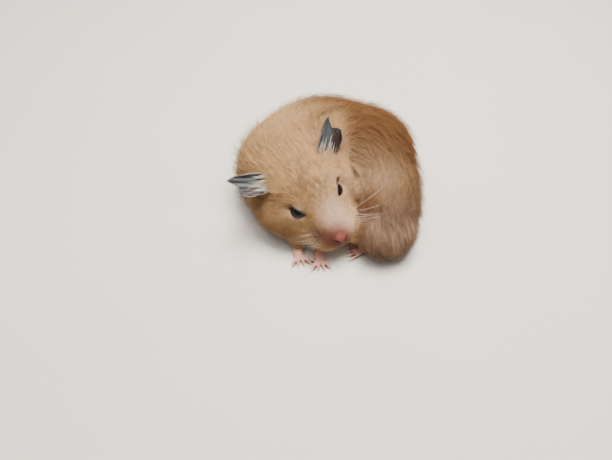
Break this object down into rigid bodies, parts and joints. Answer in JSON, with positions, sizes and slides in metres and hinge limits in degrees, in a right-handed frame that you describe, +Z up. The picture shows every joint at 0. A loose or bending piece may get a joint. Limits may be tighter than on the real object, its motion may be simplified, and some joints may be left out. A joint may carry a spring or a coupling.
{
  "type": "syrian hamster",
  "caption": "Life-size still model of an apricot Syrian hamster, curled to its left with its chin over its forepaws.",
  "frame": {"origin": "middle of the footprint of the whole animal, at floor level", "axes": "+Z up; +X from the shoulders towards the rump, the animal's longest way across; the face looks towards +X and -Y"},
  "size_m": [0.0838, 0.0736, 0.0446],
  "materials": {
    "coat": "soft apricot fur, paler on the head",
    "bare_skin": "thinly haired pink skin",
    "ear_skin": "thin dark grey skin with fine pale hairs",
    "eye": "wet black"
  },
  "bodies": {
    "root": {"head": "coat", "neck": "coat", "trunk_chest": "coat", "trunk_loins": "coat", "tail": "bare_skin", "foreleg_right": "bare_skin", "foreleg_left": "bare_skin", "hindleg_left": "coat", "hindleg_right": "coat", "ear_right": "ear_skin", "ear_left": "ear_skin", "eye_right": "eye", "eye_left": "eye"}
  },
  "joints": []
}
